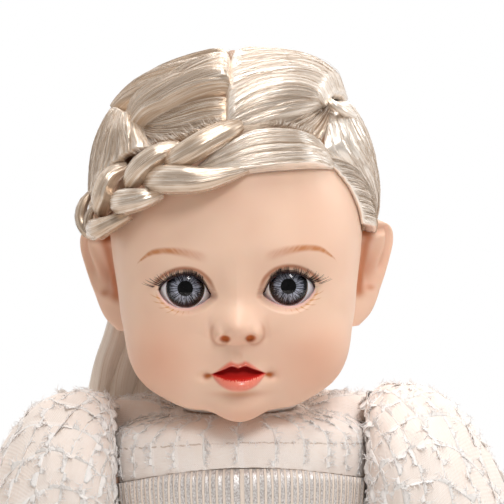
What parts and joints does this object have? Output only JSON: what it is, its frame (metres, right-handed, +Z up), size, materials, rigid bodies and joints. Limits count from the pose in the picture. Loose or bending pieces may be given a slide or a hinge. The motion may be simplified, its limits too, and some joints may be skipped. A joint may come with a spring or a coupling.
{
  "type": "play doll",
  "caption": "Standing vinyl play doll with sleeping eyes, turning head, swinging arms and legs, braided hair and a fringed, pleated dress.",
  "frame": {"origin": "on the floor, midway between the shoes, under the middle of the doll", "axes": "+Z up, the doll faces -Y, its left side is +X"},
  "size_m": [0.1994, 0.1634, 0.4598],
  "materials": {
    "vinyl": "soft skin-toned vinyl with a satin surface",
    "hair": "ash-blonde synthetic hair",
    "cream_cloth": "cream cloth with a grid of fringed tufts",
    "silver_cloth": "silver foil cloth in fine pleats",
    "white_plastic": "polished",
    "iris": "printed grey-blue fibres under gloss",
    "clear_plastic": "clear and polished",
    "lash_fibre": "dark fibre",
    "steel": "plain",
    "grey_plastic": "as moulded",
    "shoe_cloth": "smooth cream leathercloth",
    "shoe_sole": "matte"
  },
  "bodies": {
    "torso": {"torso_shell": "vinyl", "neck_joint": "white_plastic", "dress_yoke": "cream_cloth", "neck_binding": "cream_cloth", "dress_bodice": "silver_cloth", "back_tape": "cream_cloth", "dress_waistband": "silver_cloth", "skirt_left": "silver_cloth", "skirt_right": "silver_cloth"},
    "head": {"head_shell": "vinyl", "eye_case_left": "grey_plastic", "eye_case_right": "grey_plastic", "hair_cap": "hair", "front_braid": "hair", "crown_lock_left": "hair", "crown_lock_right": "hair", "back_hair": "hair"},
    "eye_left": {"eyeball_left": "white_plastic", "iris_left": "iris", "cornea_left": "clear_plastic", "eyelid_left": "vinyl", "eyelashes_left": "lash_fibre", "eye_axle_left": "steel", "eye_weight_left": "steel"},
    "arm_left": {"arm_left": "vinyl", "sleeve_left": "cream_cloth", "cuff_left": "cream_cloth"},
    "leg_left": {"leg_left": "vinyl", "shoe_sole_left": "shoe_sole", "shoe_upper_left": "shoe_cloth", "shoe_strap_left": "shoe_cloth"},
    "eye_right": {"eyeball_right": "white_plastic", "iris_right": "iris", "cornea_right": "clear_plastic", "eyelid_right": "vinyl", "eyelashes_right": "lash_fibre", "eye_axle_right": "steel", "eye_weight_right": "steel"},
    "arm_right": {"arm_right": "vinyl", "sleeve_right": "cream_cloth", "cuff_right": "cream_cloth"},
    "leg_right": {"leg_right": "vinyl", "shoe_sole_right": "shoe_sole", "shoe_upper_right": "shoe_cloth", "shoe_strap_right": "shoe_cloth"}
  },
  "joints": [
    {"name": "neck_turn", "type": "hinge", "parent": "torso", "child": "head", "pos_m": [0, 0.002, 0.338], "axis": [0, 0, 1], "range_deg": [-75, 75], "deforming": ["back_hair"]},
    {"name": "eye_left_close", "type": "hinge", "parent": "head", "child": "eye_left", "pos_m": [0.0182, -0.031, 0.3766], "axis": [1, 0, 0], "range_deg": [0, 52]},
    {"name": "shoulder_left", "type": "hinge", "parent": "torso", "child": "arm_left", "pos_m": [0.044, 0, 0.304], "axis": [-1, 0, 0], "range_deg": [-45, 120]},
    {"name": "hip_left", "type": "hinge", "parent": "torso", "child": "leg_left", "pos_m": [0.014, 0, 0.192], "axis": [-1, 0, 0], "range_deg": [-20, 90], "deforming": ["skirt_left"]},
    {"name": "eye_right_close", "type": "hinge", "parent": "head", "child": "eye_right", "pos_m": [-0.0182, -0.031, 0.3766], "axis": [1, 0, 0], "range_deg": [0, 52]},
    {"name": "shoulder_right", "type": "hinge", "parent": "torso", "child": "arm_right", "pos_m": [-0.044, 0, 0.304], "axis": [-1, 0, 0], "range_deg": [-45, 120]},
    {"name": "hip_right", "type": "hinge", "parent": "torso", "child": "leg_right", "pos_m": [-0.014, 0, 0.192], "axis": [-1, 0, 0], "range_deg": [-20, 90], "deforming": ["skirt_right"]}
  ]
}
